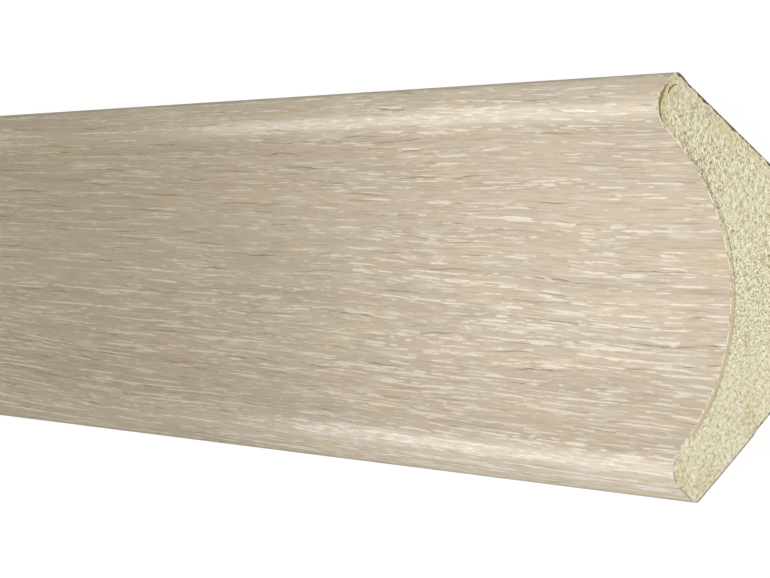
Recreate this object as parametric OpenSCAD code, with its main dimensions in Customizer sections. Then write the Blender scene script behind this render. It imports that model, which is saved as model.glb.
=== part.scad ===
// Scotia moulding: one length of MDF machined with a hollow face and wrapped in a wood-grain foil.
// It lies on its flat back. X runs along the length, Y across the face and Z out of the back.

/* [Moulding] */
// Length of the stock, sawn square at both ends
length = 2600; // [300:10:4000]
// Width over the two arrises
face_w = 55; // [48:0.5:64]
// Thickness from the flat back to the front of the lips
thickness = 16; // [14:0.1:19]
// How far the fronts of the lips stand out past the arrises
lip_rise = 3.0; // [2.4:0.1:4.5]
// Thickness left behind the middle of the hollow
web_t = 7; // [5:0.1:9]
// Radius of the two rounded lips
nose_r = 4.0; // [2:0.1:4.4]
// Radius of the two arrises
arris_r = 0.7; // [0.5:0.1:1.5]

/* [Foil] */
// Thickness of the foil
foil_t = 0.2; // [0.15:0.05:0.5]
// Width of foil turned onto the -Y seat
wide_turn = 12; // [4:0.5:14]
// Width of foil turned onto the +Y seat
narrow_turn = 1.5; // [1:0.5:14]

/* [Hidden] */

// The seats meet the wall and the ceiling, so they lean at this angle, and the lips are square to them
seat_angle = 45;
// Largest turn between two points of a round stretch, in degrees
arc_step = 3;

// Centres of the round stretches on the +Y side, as [y, z]
arris_c = [face_w / 2 - arris_r, thickness - lip_rise];
nose_z = thickness - nose_r;
nose_c = [arris_c.x + arris_c.y - nose_z + (arris_r - nose_r) / sin(seat_angle), nose_z];
// The hollow touches both lips and leaves web_t behind its middle
nose_rise = nose_z - web_t;
cove_r = (nose_c.x ^ 2 + nose_rise ^ 2 - nose_r ^ 2) / (2 * (nose_rise + nose_r));
cove_c = [0, web_t + cove_r];
// Direction from a lip's centre to the centre of the hollow
blend_angle = atan2(cove_c.y - nose_c.y, cove_c.x - nose_c.x);

// Points of a round stretch about c, from angle a to angle b
function arc(c, r, a, b) =
    let (n = ceil(abs(b - a) / arc_step))
    [for (i = [0 : n]) let (t = a + (b - a) * i / n) c + r * [cos(t), sin(t)]];

// Face from the +Y seat to the middle of the hollow, the given depth under the finished surface
function half_face(depth) = concat(
    arc(arris_c, arris_r - depth, -seat_angle, seat_angle),
    arc(nose_c, nose_r - depth, seat_angle, blend_angle),
    arc(cove_c, cove_r + depth, blend_angle - 180, -90)
);

function reversed(path) = [for (i = [len(path) - 1 : -1 : 0]) path[i]];

// The -Y half is the mirror image, and the two share the middle point
function face(depth) =
    let (half = half_face(depth))
    concat(half, [for (i = [len(half) - 2 : -1 : 0]) [-half[i].x, half[i].y]]);

// A point on the seat of one side (1 or -1), the given distance down from its arris
function on_seat(side, depth, distance) =
    let (p = half_face(depth)[0] - distance * [cos(seat_angle), sin(seat_angle)])
    [side * p.x, p.y];

// Face and the stretches of both seats that the foil covers
function wrapped(depth) = concat(
    [on_seat(1, depth, narrow_turn)], face(depth), [on_seat(-1, depth, wide_turn)]
);

// The bare seats run down to the flat back
seat_w = half_face(foil_t)[0].y / sin(seat_angle);

// A section drawn in Y and Z, run along the length
module stock(outline) {
    rotate([90, 0, 90])
        linear_extrude(length, center = true)
            polygon(outline);
}

// Solid MDF, one piece: hollow face, rounded lips, leaning seats and flat back
module mdf_core() {
    color([0.80, 0.77, 0.62])
        stock(concat([on_seat(1, foil_t, seat_w)], wrapped(foil_t), [on_seat(-1, foil_t, seat_w)]));
}

// One strip of foil glued over the face and both lips and turned onto the seats
module decor_foil() {
    color([0.78, 0.71, 0.61])
        stock(concat(wrapped(0), reversed(wrapped(foil_t))));
}

mdf_core();
decor_foil();
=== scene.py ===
# One length of scotia moulding, MDF wrapped in limed oak foil, lying on its flat back.
# Places are in metres, and the patterns of the two finishes are in millimetres.
import math

import bmesh
import bpy
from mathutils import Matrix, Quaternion, Vector, kdtree, noise


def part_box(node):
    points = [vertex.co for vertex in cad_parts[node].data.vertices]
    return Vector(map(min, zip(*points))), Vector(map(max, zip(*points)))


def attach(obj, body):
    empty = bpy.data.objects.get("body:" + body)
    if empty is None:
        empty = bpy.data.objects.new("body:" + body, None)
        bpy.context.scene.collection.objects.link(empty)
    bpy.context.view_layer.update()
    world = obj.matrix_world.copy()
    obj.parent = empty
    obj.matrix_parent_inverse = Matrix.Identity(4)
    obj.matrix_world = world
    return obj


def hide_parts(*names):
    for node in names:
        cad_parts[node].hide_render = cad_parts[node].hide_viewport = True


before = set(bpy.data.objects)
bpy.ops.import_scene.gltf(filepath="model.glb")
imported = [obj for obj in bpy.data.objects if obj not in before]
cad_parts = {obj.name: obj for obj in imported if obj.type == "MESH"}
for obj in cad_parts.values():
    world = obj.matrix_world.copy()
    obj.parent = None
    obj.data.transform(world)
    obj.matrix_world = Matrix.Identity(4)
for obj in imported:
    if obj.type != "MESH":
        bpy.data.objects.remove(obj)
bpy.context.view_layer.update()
mm = 0.001

scene = bpy.context.scene
scene.view_settings.view_transform = "Standard"


# Camera and lamps
view = {
    "place": (1.97630, 0.02227, 0.28373),
    "aim": (-0.94630, -0.02837, -0.32205),
    "rollDegrees": -93.20,
    "lens": 267.0,
}
camera = bpy.data.objects.new("camera", bpy.data.cameras.new("camera"))
camera.data.lens = view["lens"]
camera.data.sensor_width = 36
camera.data.clip_end = 100
camera.rotation_mode = "QUATERNION"
roll = Quaternion((0, 0, 1), math.radians(view["rollDegrees"]))
camera.rotation_quaternion = Vector(view["aim"]).to_track_quat("-Z", "Y") @ roll
camera.location = view["place"]
scene.collection.objects.link(camera)
scene.camera = camera


def addLamp(name, place, aim, size, beamDegrees, power, colour):
    lamp = bpy.data.objects.new(name, bpy.data.lights.new(name, "AREA"))
    lamp.data.shape = "RECTANGLE"
    lamp.data.size, lamp.data.size_y = size
    lamp.data.spread = math.radians(beamDegrees)
    lamp.data.energy = power
    lamp.data.color = colour
    lamp.location = place
    lamp.rotation_mode = "QUATERNION"
    lamp.rotation_quaternion = (Vector(aim) - Vector(place)).to_track_quat("-Z", "Y")
    lamp.visible_camera = False
    scene.collection.objects.link(lamp)


lamps = {  # soft beams over the near end and the rest, and one beyond the far end for the sheen
    "overNearEnd": {
        "place": (1.75, -0.05, 0.68), "aim": (1.257, 0.0, 0.016),
        "size": (0.11, 0.11), "beamDegrees": 20.6, "power": 0.0735, "colour": (0.88, 0.91, 1.0),
    },
    "overTheRest": {
        "place": (-0.38, 0.0, 0.60), "aim": (-0.38, 0.0, 0.0),
        "size": (2.20, 0.11), "beamDegrees": 40, "power": 0.80, "colour": (0.88, 0.91, 1.0),
    },
    "beyondFarEnd": {
        "place": (-2.4, 0.0, 1.35), "aim": (1.1, 0.0, 0.0),
        "size": (1.2, 0.5), "beamDegrees": 180, "power": 5.5, "colour": (1.0, 1.0, 1.0),
    },
}
for name, lamp in lamps.items():
    addLamp(name, **lamp)


# Shader maths
class Wire:
    # one output socket: sums and products of values add their Math nodes
    def __init__(self, tree, socket=None):
        self.tree = tree
        self.socket = socket

    # any node: its settings go in first, then a value or a wire for each socket named
    def add(self, kind, settings, sockets, output=0):
        node = self.tree.nodes.new(kind)
        for name, value in settings.items():
            if name == "stops":
                while len(node.color_ramp.elements) < len(value):
                    node.color_ramp.elements.new(0.5)
                for element, (position, colour) in zip(node.color_ramp.elements, value):
                    element.position = position
                    element.color = colour
            else:
                setattr(node, name, value)
        for name, value in sockets.items():
            if isinstance(value, Wire):
                self.tree.links.new(value.socket, node.inputs[name])
            else:
                node.inputs[name].default_value = value
        return Wire(self.tree, node.outputs[output] if node.outputs else None)

    def math(self, operation, *values):
        return self.add("ShaderNodeMath", {"operation": operation}, dict(enumerate(values)))

    def __add__(self, other):
        return self.math("ADD", self, other)

    def __radd__(self, other):
        return self.math("ADD", other, self)

    def __sub__(self, other):
        return self.math("SUBTRACT", self, other)

    def __rsub__(self, other):
        return self.math("SUBTRACT", other, self)

    def __mul__(self, other):
        return self.math("MULTIPLY", self, other)

    def __rmul__(self, other):
        return self.math("MULTIPLY", other, self)

    def __truediv__(self, other):
        return self.math("DIVIDE", self, other)

    def __abs__(self):
        return self.math("ABSOLUTE", self)

    # 0 below low, 1 above high, and a soft step between them
    def step(self, low, high):
        sockets = {"Value": self, "From Min": low, "From Max": high}
        return self.add("ShaderNodeMapRange", {"interpolation_type": "SMOOTHSTEP"}, sockets)

    def split(self):
        return [self.add("ShaderNodeSeparateXYZ", {}, {0: self}, i) for i in range(3)]

    def join(self, *parts):
        return self.add("ShaderNodeCombineXYZ", {}, dict(enumerate(parts)))

    def scaled(self, *factors):
        return self.add("ShaderNodeVectorMath", {"operation": "MULTIPLY"}, {0: self, 1: factors})

    def moved(self, other):
        return self.add("ShaderNodeVectorMath", {"operation": "ADD"}, {0: self, 1: other})

    # noise from 0 to 1 whose blotches are about as long as the sizes say
    def blotches(self, sizes, detail=2.0, roughness=0.5, output=0):
        place = self.scaled(*[1 / size for size in sizes])
        sockets = {"Vector": place, "Scale": 1.0, "Detail": detail, "Roughness": roughness}
        return self.add("ShaderNodeTexNoise", {"noise_dimensions": "3D"}, sockets, output)

    # a colour laid over this one where the mask is 1
    def under(self, colour, mask, blend="MIX"):
        settings = {"data_type": "RGBA", "blend_type": blend, "clamp_factor": True}
        return self.add("ShaderNodeMix", settings, {0: mask, 6: self, 7: colour}, 2)


def tint(red, green, blue):  # a colour as a paint program shows it, 0 to 255
    def linear(level):
        share = level / 255
        return share / 12.92 if share <= 0.04045 else ((share + 0.055) / 1.055) ** 2.4
    return linear(red), linear(green), linear(blue), 1.0


def newMaterial(name):
    material = bpy.data.materials.new(name)
    material.use_nodes = True
    material.node_tree.nodes.clear()
    return material, Wire(material.node_tree)


def finishMaterial(start, sockets):
    shader = start.add("ShaderNodeBsdfPrincipled", {}, sockets)
    start.add("ShaderNodeOutputMaterial", {}, {"Surface": shader})


# Floor and world
backdrop = {"floorSize": 60.0, "glow": 0.92, "paint": 0.20, "bounce": 0.80, "ambient": 0.57,
            "ambientTone": (1.0, 0.968, 0.89, 1.0)}


def seenDirectly(start):  # camera rays, and what gloss and glass show
    path = [start.add("ShaderNodeLightPath", {}, {}, name)
            for name in ("Is Camera Ray", "Is Glossy Ray", "Is Transmission Ray")]
    return path[0].math("MAXIMUM", path[0].math("MAXIMUM", path[0], path[1]), path[2])


def makeFloor():
    bm = bmesh.new()
    bmesh.ops.create_grid(bm, x_segments=1, y_segments=1, size=backdrop["floorSize"] / 2)
    mesh = bpy.data.meshes.new("floor")
    bm.to_mesh(mesh)
    bm.free()
    floor = bpy.data.objects.new("floor", mesh)
    scene.collection.objects.link(floor)
    material, start = newMaterial("paleFloor")
    paint, bounce = [(level,) * 3 + (1.0,) for level in (backdrop["paint"], backdrop["bounce"])]
    glow = start.add("ShaderNodeEmission", {}, {"Strength": backdrop["glow"]})
    shown = start.add("ShaderNodeAddShader", {}, {
        0: glow, 1: start.add("ShaderNodeBsdfDiffuse", {}, {"Color": paint})})
    lighting = start.add("ShaderNodeBsdfDiffuse", {}, {"Color": bounce})
    mixed = start.add("ShaderNodeMixShader", {}, {0: seenDirectly(start), 1: lighting, 2: shown})
    start.add("ShaderNodeOutputMaterial", {}, {"Surface": mixed})
    mesh.materials.append(material)


def makeWorld():
    world = bpy.data.worlds.new("studio")
    world.use_nodes = True
    world.node_tree.nodes.clear()
    start = Wire(world.node_tree)
    lighting = start.add("ShaderNodeBackground", {}, {
        "Color": backdrop["ambientTone"], "Strength": backdrop["ambient"]})
    shown = start.add("ShaderNodeBackground", {}, {"Color": (1, 1, 1, 1), "Strength": 1.0})
    mixed = start.add("ShaderNodeMixShader", {}, {0: seenDirectly(start), 1: lighting, 2: shown})
    start.add("ShaderNodeOutputWorld", {}, {"Surface": mixed})
    scene.world = world


makeFloor()
makeWorld()
print("camera, lamps and floor are in place")


# Section, with the CAD part's own sizes
low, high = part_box("decor_foil")
section = {
    "lipRise": 3.0 * mm,
    "web": 7.0 * mm,
    "noseRadius": 4.0 * mm,
    "arrisRadius": 0.7 * mm,
    "foil": 0.2 * mm,
    "wideTurn": 12.0 * mm,
    "narrowTurn": 1.5 * mm,
}
lean = math.radians(45)
arris = Vector((high.y - section["arrisRadius"], high.z - section["lipRise"]))
noseHeight = high.z - section["noseRadius"]
radiusGap = section["arrisRadius"] - section["noseRadius"]
nose = Vector((arris.x + arris.y - noseHeight + radiusGap / math.sin(lean), noseHeight))
rise = nose.y - section["web"]
hollowRadius = (nose.x ** 2 + rise ** 2 - section["noseRadius"] ** 2) / (
    2 * (rise + section["noseRadius"]))
hollow = Vector((0, section["web"] + hollowRadius))
blend = math.atan2(hollow.y - nose.y, hollow.x - nose.x)
mirrorY = Vector((-1, 1))


def drawLine(bm, vert, step, length, pitch):  # step is a direction in Y and Z
    count = max(1, round(length / pitch))
    for _ in range(count):
        vert = bmesh.ops.extrude_vert_indiv(bm, verts=[vert])["verts"][0]
        vert.co.yz += step * (length / count)
    return vert


def drawArc(bm, vert, centre, angle, pitch):  # the angle turns from Y towards Z
    radius = (vert.co.yz - centre).length
    count = max(4, round(abs(angle) * radius / pitch))
    made = bmesh.ops.spin(bm, geom=[vert], cent=(vert.co.x, *centre), axis=(1, 0, 0),
                          angle=angle, steps=count, use_duplicate=False)
    return made["geom_last"][0]


# From the foot of the +Y seat up to its arris, over the lip, through the hollow and down again
def drawFace(bm, vert, seats, pitch):
    up = Vector((math.cos(lean), math.sin(lean)))
    lipLength = math.sqrt((nose - arris).length ** 2 - radiusGap ** 2)
    vert = drawLine(bm, vert, up, seats[0], pitch)
    vert = drawArc(bm, vert, arris, 2 * lean, pitch)
    vert = drawLine(bm, vert, up * mirrorY, lipLength, pitch)
    vert = drawArc(bm, vert, nose, blend - lean, pitch)
    vert = drawArc(bm, vert, hollow, math.pi - 2 * blend, pitch)
    vert = drawArc(bm, vert, nose * mirrorY, blend - lean, pitch)
    vert = drawLine(bm, vert, -up, lipLength, pitch)
    vert = drawArc(bm, vert, arris * mirrorY, 2 * lean, pitch)
    return drawLine(bm, vert, -up * mirrorY, seats[1], pitch)


def seatTop(depth):  # where the +Y arris meets its seat, the given depth under the finish
    return arris + (section["arrisRadius"] - depth) * Vector((math.cos(lean), -math.sin(lean)))


def footOfSeat(depth, length):
    return seatTop(depth) - length * Vector((math.cos(lean), math.sin(lean)))


# Distance in millimetres from the line of the bare +Y seat, on the inside
def fromSeat(y, z):
    top = seatTop(section["foil"]) / mm
    return (z - y + (top.x - top.y)) * math.sin(lean)


def softStep(value, low, high):
    share = min(1, max(0, (value - low) / (high - low)))
    return share * share * (3 - 2 * share)


def finishMesh(bm, name, materials, sharpDegrees):
    bm.normal_update()
    for face in bm.faces:
        face.smooth = True
    for edge in bm.edges:
        if edge.is_manifold:
            edge.smooth = edge.calc_face_angle(0) < math.radians(sharpDegrees)
    mesh = bpy.data.meshes.new(name)
    bm.to_mesh(mesh)
    bm.free()
    for material in materials:
        mesh.materials.append(material)
    piece = bpy.data.objects.new(name, mesh)
    scene.collection.objects.link(piece)
    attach(piece, "root")
    return piece


# Foil
foilLook = {  # lengths in millimetres
    "pitch": 0.25,
    "rings": (0.0, 0.12, 0.35, 0.8, 2.0, 6.0, 20.0, 60.0),
    "ringStep": 100.0,
    "frayed": 0.10,
    "base": tint(208, 193, 170),
    "greyTone": tint(204, 191, 170),
    "warmTone": tint(213, 197, 166),
    "pore": tint(239, 228, 210),
    "chalk": tint(230, 225, 214),
    "vein": tint(146, 126, 99),
    "edge": tint(240, 228, 203),
    "darkFoilEdge": tint(72, 66, 52),
    "greyFoilEdge": tint(150, 148, 134),
    # painted shade on the arrises
    "paintedArrisShade": tint(138, 132, 118),
    "roughness": 0.60,
    "lipRoughness": 0.30,
    "gloss": 0.12,
    # where the painted highlight on the lip noses fades out, in millimetres from the ends, and its colour
    "lipSheen": (165.0, 235.0),
    "paintedSheenTone": tint(231, 218, 195),
    "drift": 0.012,
}


# Thin lines lying along X, one in some of the cells, with points or blunt ends: a 0 to 1 mask
def lines(grain, cell, halfLength, halfWidth, share, shift, blunt):
    place = grain.moved((shift * 37.3, shift * 11.7, 0.0)).scaled(1 / cell[0], 1 / cell[1], 0.0)
    kind, settings = "ShaderNodeTexVoronoi", {"voronoi_dimensions": "2D"}
    sockets = {"Vector": place, "Scale": 1.0, "Randomness": 1.0}
    chance = place.add(kind, settings, sockets, "Color").split()
    centre = place.add(kind, settings, sockets, "Position")
    offset = place.add("ShaderNodeVectorMath", {"operation": "SUBTRACT"}, {0: place, 1: centre})
    along, across, _ = offset.split()
    reach = chance[0] * (halfLength[1] - halfLength[0]) + halfLength[0]
    width = chance[1] * (halfWidth[1] - halfWidth[0]) + halfWidth[0]
    taper = (1 - abs(along * cell[0] / reach)) * blunt
    body = taper.math("MINIMUM", taper, 1.0) - abs(across * cell[1] / width)
    return body.step(0.0, 0.6) * chance[2].math("LESS_THAN", chance[2], share)


def foilMaterial():
    look = foilLook
    material, start = newMaterial("limedOakFoil")
    along = start.add("ShaderNodeTexCoord", {}, {}, "Object").split()[0] * 1000
    across = start.add("ShaderNodeAttribute", {"attribute_name": "acrossFace"}, {}, "Fac") * 1000
    lip = start.add("ShaderNodeAttribute", {"attribute_name": "onLip"}, {}, "Fac")
    corner = start.add("ShaderNodeAttribute", {"attribute_name": "onArris"}, {}, "Fac")
    drift = along * look["drift"]
    flat = start.join(along, across - drift, 0.0)
    sway = flat.blotches((110, 14, 1), 1.0) - 0.5
    ripple = flat.blotches((30, 3, 1), 1.0) - 0.5
    grain = start.join(along, across - drift + sway * 3.0 + ripple * 0.45, 0.0)

    tone = grain.blotches((90, 5, 1), 2.0)
    warmth = grain.blotches((45, 6, 1), 2.0)
    colour = start.add("ShaderNodeMix", {"data_type": "RGBA"}, {
        0: tone.step(0.35, 0.65), 6: look["greyTone"], 7: look["base"]}, 2)
    colour = colour.under(look["warmTone"], warmth.step(0.50, 0.72) * 0.6)
    bands = grain.blotches((170, 1.9, 1), 2.0)
    colour = colour.under(look["vein"], bands.step(0.42, 0.70) * 0.16)

    fromEnd = high.x / mm - abs(along)
    further = fromEnd.step(90, 260)
    lower = across.step(30, 42)  # the print is stronger on the -Y half, and near the ends
    upClose = (1 - further) * (1 - lower)
    fibre = grain.blotches((12, 0.26, 1), 2.0, 0.6)
    colour = colour.under(look["vein"], (1 - fibre).step(0.44, 0.80) * (lower * 0.08 + upClose * 0.16 + 0.38))
    crinkle = flat.blotches((17, 2.5, 1), 2.0) - 0.5
    wavy = start.join(along, across - drift + sway * 3.0 + crinkle * 1.5, 0.0)
    veins = lines(wavy, (44, 1.9), (8, 24), (0.07, 0.15), 0.72, 1, 1.3)
    colour = colour.under(look["vein"], veins * fibre * (1.6 - lower * 0.3))

    ragged = grain.blotches((5.5, 0.34, 1), 3.0, 0.6) - 0.5
    chains = grain.blotches((80, 1.0, 1), 1.0).step(0.36, 0.62) * 0.7 + 0.3
    wide = upClose * 0.06 + 0.24
    long = lines(grain, (15, 0.70), (3.5, 10), (0.12, wide), lower * 0.16 + 0.55, 2, 2.0)
    short = lines(grain, (7, 0.46), (1.4, 4.5), (0.11, wide), lower * 0.16 + 0.50, 3, 2.0)
    drawn = lines(grain, (46, 0.62), (8, 28), (0.12, 0.25), 0.85, 4, 2.0)
    slender = further.math("MAXIMUM", further, lower * 0.8)  # longer further in, and on the -Y half
    near = long.math("MAXIMUM", long, short * 0.7) * (1 - further * 0.4)
    strokes = near.math("MAXIMUM", near, drawn * slender) * chains
    strokes = strokes * (lower * 0.32 + upClose * 0.18 - further * 0.08 + 0.80)
    torn = grain.blotches((1.4, 0.30, 1), 2.0, 0.6)
    light = (strokes * (torn + 0.44) + ragged * 1.9).step(0.12, further * -0.20 + 1.02) * 0.95
    bloom = grain.blotches((20, 1.3, 1), 1.0, 0.6).step(0.58, 0.76)
    colour = colour.under(look["chalk"], bloom * (ragged + 0.5) * 0.9)
    cool = grain.blotches((22, 4, 1), 1.0).step(0.45, 0.60)
    poreColour = start.add("ShaderNodeMix", {"data_type": "RGBA"}, {
        0: cool, 6: look["pore"], 7: look["chalk"]}, 2)
    colour = colour.under(poreColour, light)

    # the noses of the lips near both ends get a painted highlight, a paler colour, and are glossier there
    lipSheen = lip * (1 - (fromEnd + lower * 42).step(*look["lipSheen"]))
    colour = colour.under(look["paintedSheenTone"], lipSheen * 0.22)
    # painted shade along the arrises, where the rounded edge turns away from the light
    colour = colour.under(look["paintedArrisShade"], corner * (ragged + 1.0) * 0.5)
    roughness = look["roughness"] - lipSheen * (ragged * 0.9 + look["roughness"] - look["lipRoughness"])
    height = 0.5 - light * 0.4 - veins * 0.3
    bump = start.add("ShaderNodeBump", {}, {
        "Strength": 0.4, "Distance": 0.00002, "Height": height})
    finishMaterial(start, {"Base Color": colour, "Roughness": roughness, "Normal": bump,
                           "Specular IOR Level": look["gloss"]})
    return material


# The cut edge shows the paper that the print lies on
def foilEdgeMaterial():
    look = foilLook
    material, start = newMaterial("foilCutEdge")
    place = start.add("ShaderNodeTexCoord", {}, {}, "Object").scaled(1000, 1000, 1000)
    _, y, z = place.split()
    torn = place.blotches((0.6, 0.6, 0.6), 2.0)
    colour = start.add("ShaderNodeMix", {"data_type": "RGBA"}, {
        0: torn.step(0.44, 0.62) * 0.6, 6: look["edge"], 7: look["vein"]}, 2)
    # the cut edge is darker over the +Y seat and grey over the -Y seat, and grey in patches beyond -20 mm on
    # the -Y side
    onSeats = 1 - fromSeat(abs(y), z).step(0.05, 0.25)
    seatEdgeTone = colour.under(look["darkFoilEdge"], y.step(-1, 1)).under(look["greyFoilEdge"], 1 - y.step(-1, 1))
    colour = colour.under(look["greyFoilEdge"], (1 - y.step(-25, -20)) * torn)
    colour = colour.under(seatEdgeTone, onSeats * 0.8)
    finishMaterial(start, {"Base Color": colour, "Roughness": 0.9, "Specular IOR Level": 0.2})
    return material


def makeFoil():
    bm = bmesh.new()
    vert = bm.verts.new((low.x, *footOfSeat(0, section["narrowTurn"])))
    drawFace(bm, vert, (section["narrowTurn"], section["wideTurn"]), foilLook["pitch"] * mm)
    across = bm.verts.layers.float.new("acrossFace")
    onLip = bm.verts.layers.float.new("onLip")
    onArris = bm.verts.layers.float.new("onArris")
    walked, before = 0.0, None
    for vert in bm.verts:
        walked += (vert.co - before).length if before else 0.0
        before = vert.co.copy()
        vert[across] = walked
        fromCentre = vert.co.yz - Vector((math.copysign(nose.x, vert.co.y), nose.y))
        turned = math.degrees(abs(math.atan2(fromCentre.x, fromCentre.y)))
        onArc = abs(fromCentre.length - section["noseRadius"]) < 0.1 * mm
        vert[onLip] = min(1, max(0, (24 - turned) / 16)) if onArc else 0
        vert[onArris] = 1 - softStep((high.y - abs(vert.co.y)) / mm, 0.15, 0.50)

    nearEnd = [ring * mm for ring in foilLook["rings"]]
    middle = high.x - foilLook["ringStep"] * mm
    rings = [low.x + ring for ring in nearEnd]
    while rings[-1] < middle - foilLook["ringStep"] * mm:
        rings.append(rings[-1] + foilLook["ringStep"] * mm)
    rings += [high.x - ring for ring in reversed(nearEnd)]
    edges = bm.edges[:]
    for ring in rings[1:]:
        made = bmesh.ops.extrude_edge_only(bm, edges=edges)["geom"]
        verts = {item for item in made if isinstance(item, bmesh.types.BMVert)}
        edges = [item for item in made if isinstance(item, bmesh.types.BMEdge)
                 and verts.issuperset(item.verts)]
        for vert in verts:
            vert.co.x = ring
    bm.normal_update()
    if sum(face.normal.z for face in bm.faces) < 0:
        bmesh.ops.reverse_faces(bm, faces=bm.faces[:])
    bmesh.ops.solidify(bm, geom=bm.faces[:], thickness=section["foil"])
    bm.normal_update()
    for face in bm.faces:
        face.material_index = 1 if abs(face.normal.x) > 0.5 else 0
    for vert in bm.verts:  # the long edges are pressed flat, and the saw frays both ends a little
        side = math.copysign(1, vert.co.y)
        if fromSeat(abs(vert.co.y) / mm, vert.co.z / mm) < -0.1:
            down = (vert.co.yz * Vector((side, 1)) - seatTop(0)).length
            turned = section["narrowTurn" if side > 0 else "wideTurn"]
            thinned = section["foil"] * 0.8 * softStep(down, turned - 1.0 * mm, turned)
            vert.co.yz += Vector((-side * math.sin(lean), math.cos(lean))) * thinned
        side = math.copysign(1, vert.co.x)
        if abs(vert.co.x) > high.x - 0.01 * mm:
            place = Vector((side * 5, vert.co.y / mm * 1.1, vert.co.z / mm * 1.1))
            fray = 0.5 + 0.9 * noise.fractal(place, 1.0, 2.0, 3)
            vert.co.x -= side * foilLook["frayed"] * mm * min(1, max(0, fray))
    foil = finishMesh(bm, "decorFoil", [foilMaterial(), foilEdgeMaterial()], 40)
    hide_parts("decor_foil")


makeFoil()
print("foil is in place")


# MDF core
coreLook = {  # lengths in millimetres
    "pitch": 0.25,
    "cell": 0.15,
    "rings": (0.0, 0.12, 0.35, 0.8, 2.0, 6.0, 20.0, 60.0),
    "relief": 0.08,
    "streak": (0.9, 0.32),
    "flake": (0.42, 0.36),
    "glueReach": 19.0,
    "sealed": 0.46,
    "stains": ((20.3, 7.4, 2.2), (18.6, 5.4, 1.5), (16.7, 2.8, 1.2), (24.3, 14.2, 1.3)),  # Y, Z, radius
    "cracks": (  # torn +Y lip of the near end: points as Y, Z and half width
        ((26.84, 13.75, 0.08), (25.92, 14.48, 0.12), (24.85, 15.08, 0.26), (24.10, 15.32, 0.24),
         (23.64, 15.50, 0.14), (22.36, 15.50, 0.12), (21.29, 15.30, 0.07)),
        ((25.96, 13.00, 0.06), (25.78, 13.59, 0.12), (25.37, 14.06, 0.12), (24.74, 14.32, 0.06)),
    ),
    "crackDepth": 0.15,
    "crackCell": 3,
    "base": tint(225, 218, 189),
    "pale": tint(250, 246, 220),
    "shade": tint(203, 195, 162),
    "pit": tint(154, 144, 108),
    "tan": tint(224, 208, 166),
    "stain": tint(214, 201, 150),
    "band": tint(205, 188, 158),
    "glue": tint(136, 118, 84),
    "darkSeatEdge": tint(60, 56, 44),
    # painted shade in the cracks
    "crackShade": tint(146, 130, 88),
}


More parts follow.
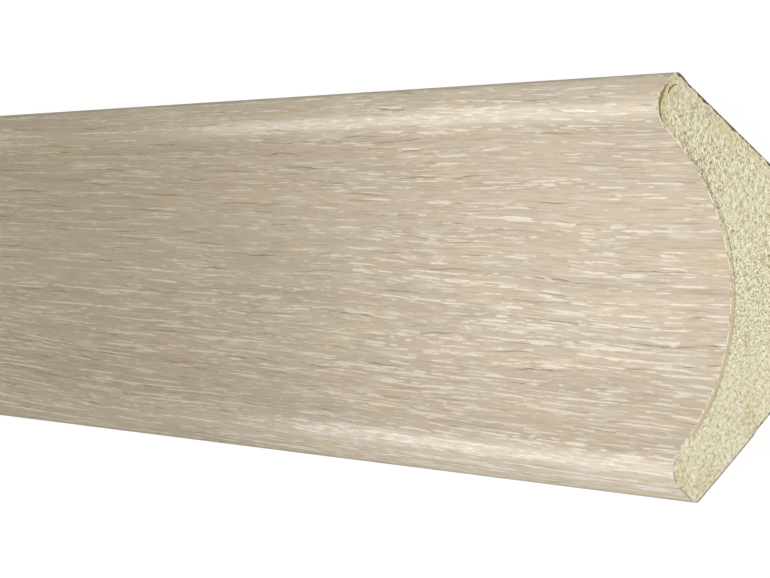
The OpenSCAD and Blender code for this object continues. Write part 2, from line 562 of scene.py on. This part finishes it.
def coreMaterial(name, sawn):
    look = coreLook
    material, start = newMaterial(name)
    place = start.add("ShaderNodeTexCoord", {}, {}, "Object").scaled(1000, 1000, 1000)
    warp = place.blotches((1.4, 1.4, 1.4), 2.0, output=1).moved((-0.5, -0.5, -0.5))
    felt = place.moved(warp.scaled(0.7, 0.7, 0.5))
    _, y, z = place.split()
    matted = felt.blotches((0.36, 0.36, 0.22), 2.0, 0.6)
    lumps = felt.blotches((0.60, 0.60, 0.40), 2.0, 0.6)
    matted = matted + (lumps - matted) * (1 - y.step(-20, -10)) * 0.5
    fine = felt.blotches((0.24, 0.24, 0.16), 2.0, 0.6)
    combed = felt.blotches((0.34, 0.42, 0.11), 2.0, 0.6)
    lint = matted + (fine - matted) * y.step(-14, -6)
    lint = lint + (combed - lint) * (y + z * 0.7).step(4, 20) * 0.9
    patch = place.blotches((6, 6, 2.5), 2.0)
    contrast = y.step(-14, -4) * 0.85 + y.step(13, 17) * 0.4 - y.step(20, 25) * 1.0 + 0.95
    fibre = 0.5 + (lint - 0.5) * contrast
    if sawn:
        raised = start.add("ShaderNodeAttribute", {"attribute_name": "raised"}, {}, "Fac")
        # the colour goes darker where the fibres sink, painted shade in the hollows of the real relief
        fibre = fibre + (raised - 0.5) * 0.25
    colour = start.add("ShaderNodeValToRGB", {"stops": (
        (0.20, look["pit"]), (0.40, look["shade"]), (0.52, look["base"]), (0.76, look["pale"]),
    )}, {0: fibre})
    worn = patch.step(0.50, 0.72) * (0.35 if sawn else 0.12)
    if sawn:
        worn = worn + y.step(12, 18) * 0.07
    colour = colour.under(look["tan"], worn, "MULTIPLY")
    height = lint
    if sawn:
        band, behind, crack, stained = [
            start.add("ShaderNodeAttribute", {"attribute_name": attribute}, {}, "Fac")
            for attribute in ("sealed", "behindFoil", "crack", "stained")]
        spread = place.blotches((0.6, 0.6, 0.6), 2.0) - 0.5
        dots = place.blotches((0.40, 0.40, 0.40), 1.0)
        crumbs = place.blotches((0.26, 0.26, 0.20), 2.0, 0.6)
        gap = behind * 1000 + spread * 0.16
        reach = 1 - abs(y).step(look["glueReach"] - 1.5, look["glueReach"] + 0.5)
        inner = (1 - abs(gap - look["sealed"]).step(0.03, 0.12)) * (1 - y.step(7, 11))
        inner = inner * (y.step(-3, 3) * 0.4 + 0.5)
        outer = (1 - abs(gap - 0.02).step(0.02, 0.09)) * 0.35
        glue = inner.math("MAXIMUM", inner, outer) * dots.step(0.34, 0.52)
        crumbled = crumbs.step(0.49, 0.56) * (1 - gap.step(0.25, 0.75)) * y.step(6, 10)
        glue = glue.math("MAXIMUM", glue, crumbled) * reach
        # a dark line along the edge of the bare seats, on the -Y side only where Y is above about -19 mm
        darkSeatEdge = 1 - (fromSeat(abs(y), z) + spread * 0.7).step(0.09, 0.27)
        darkSeatEdge = darkSeatEdge * (y.step(-1, 1) + (y + 18.9).step(0, 1) * (1 - y.step(-1, 1)))
        colour = colour.under(look["stain"], stained * crumbs * 0.8)
        colour = colour.under(look["band"], band * (1 - y.step(-4, 4) * 0.7) * 0.9)
        colour = colour.under(look["glue"], glue * 0.9)
        colour = colour.under(look["darkSeatEdge"], darkSeatEdge * 0.9)
        # the cracks are real hollows, and their colour is darkened in them as painted shade
        colour = colour.under(look["crackShade"], crack * 0.9)
        height = height - glue * 0.6
    bump = start.add("ShaderNodeBump", {}, {
        "Strength": 0.6 if sawn else 0.4, "Distance": 0.00008, "Height": height})
    finishMaterial(start, {"Base Color": colour, "Roughness": 0.9, "Normal": bump,
                           "Specular IOR Level": 0.1})
    return material


# How far the fibres stand up at a point of a sawn end, from 0 to 1
def fibreHeight(side, y, z):
    streak, flake = coreLook["streak"], coreLook["flake"]
    long = noise.fractal(Vector((side * 3, y / streak[0], z / streak[1])), 1.0, 2.0, 3)
    short = noise.fractal(Vector((side * 9, y / flake[0], z / flake[1])), 1.0, 2.0, 3)
    share = min(1, max(0, (y + 8) / 14))
    return min(1, max(0, 0.5 + 0.8 * (long * share + short * (1 - share))))


# Distance to the nearest crack of the near end, in half widths of the crack there
def crackDistance(y, z):
    nearest = 9.0
    for points in coreLook["cracks"]:
        for start, end in zip(points, points[1:]):
            here, a, b = Vector((y, z)), Vector(start[:2]), Vector(end[:2])
            share = min(1, max(0, (here - a).dot(b - a) / (b - a).length_squared))
            width = start[2] + share * (end[2] - start[2])
            nearest = min(nearest, (here - a.lerp(b, share)).length / width)
    return nearest


def makeCore():
    look = coreLook
    depth = section["foil"]
    seatLength = seatTop(depth).y / math.sin(lean)

    front = bmesh.new()  # the line where foil and core meet, to measure from
    vert = front.verts.new((0, *footOfSeat(depth, section["narrowTurn"])))
    drawFace(front, vert, (section["narrowTurn"], section["wideTurn"]), 0.05 * mm)
    tree = kdtree.KDTree(len(front.verts))
    for index, vert in enumerate(front.verts):
        tree.insert(vert.co, index)
    tree.balance()
    front.free()

    bm = bmesh.new()  # one sawn end, cut into small cells
    first = bm.verts.new((low.x, *footOfSeat(depth, seatLength)))
    last = drawFace(bm, first, (seatLength, seatLength), look["pitch"] * mm)
    bmesh.ops.contextual_create(bm, geom=[last, first])
    bmesh.ops.contextual_create(bm, geom=bm.edges[:])
    cell = look["cell"] * mm
    for normal, start, end in (((0, 1, 0), low.y, high.y), ((0, 0, 1), 0, high.z)):
        for i in range(1, int((end - start) / cell)):
            geom = bm.verts[:] + bm.edges[:] + bm.faces[:]
            bmesh.ops.bisect_plane(bm, geom=geom, dist=1e-7, plane_no=normal,
                                   plane_co=[(start + i * cell) * n for n in normal])

    rings = [ring * mm for ring in look["rings"]]
    places = [low.x + ring for ring in rings[1:]] + [high.x - ring for ring in reversed(rings)]
    faces = bm.faces[:]
    for i, place in enumerate(places):
        geom = faces + list({edge for face in faces for edge in face.edges})
        made = bmesh.ops.extrude_face_region(bm, geom=geom, use_keep_orig=i == 0)["geom"]
        faces = [item for item in made if isinstance(item, bmesh.types.BMFace)]
        for item in made:
            if isinstance(item, bmesh.types.BMVert):
                item.co.x = place
    torn = set()
    for face in faces:
        middle = face.calc_center_median() / mm
        if middle.y > 20 and middle.z > 12 and crackDistance(middle.y, middle.z) < 3:
            torn.update(face.edges)
    bmesh.ops.subdivide_edges(bm, edges=list(torn), cuts=look["crackCell"] - 1, use_grid_fill=True)
    bmesh.ops.recalc_face_normals(bm, faces=bm.faces[:])
    print("core is cut into", len(bm.faces), "faces")

    behind, raised, sealed, crack, stained = [bm.verts.layers.float.new(name) for name in (
        "behindFoil", "raised", "sealed", "crack", "stained")]
    for face in bm.faces:
        face.material_index = 0 if abs(face.normal.x) > 0.5 else 1
    for vert in bm.verts:
        vert[raised] = 0.5
        if abs(vert.co.x) < high.x - 0.01 * mm:
            continue
        side = math.copysign(1, vert.co.x)
        y, z = vert.co.y / mm, vert.co.z / mm
        vert[behind] = tree.find((0, vert.co.y, vert.co.z))[2]
        gap = vert[behind] / mm
        if abs(y) < look["glueReach"]:
            inHollow = 1 - softStep(y, 6, 12)
            vert[sealed] = inHollow * (1 - softStep(gap, look["sealed"] - 0.08, look["sealed"] + 0.04))
        elif side > 0 and y > 20 and z > 12:
            vert[sealed] = 1 - softStep(gap, 0.35, 0.75)
            vert[crack] = 1 - softStep(crackDistance(y, z), 0.5, 1.3)
        if side > 0:
            vert[stained] = max(1 - softStep((Vector((y, z)) - Vector(stain[:2])).length,
                                             stain[2] * 0.4, stain[2]) for stain in look["stains"])
        vert[raised] = fibreHeight(side, y, z)
        hollowed = look["relief"] * (1 - vert[raised]) * (1 - 0.7 * vert[sealed])
        vert.co.x -= side * (hollowed + look["crackDepth"] * vert[crack]) * mm
    core = finishMesh(bm, "mdfCore", [coreMaterial("sawnMdf", True),
                                      coreMaterial("planedMdf", False)], 40)
    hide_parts("mdf_core")


makeCore()
print("core is in place")
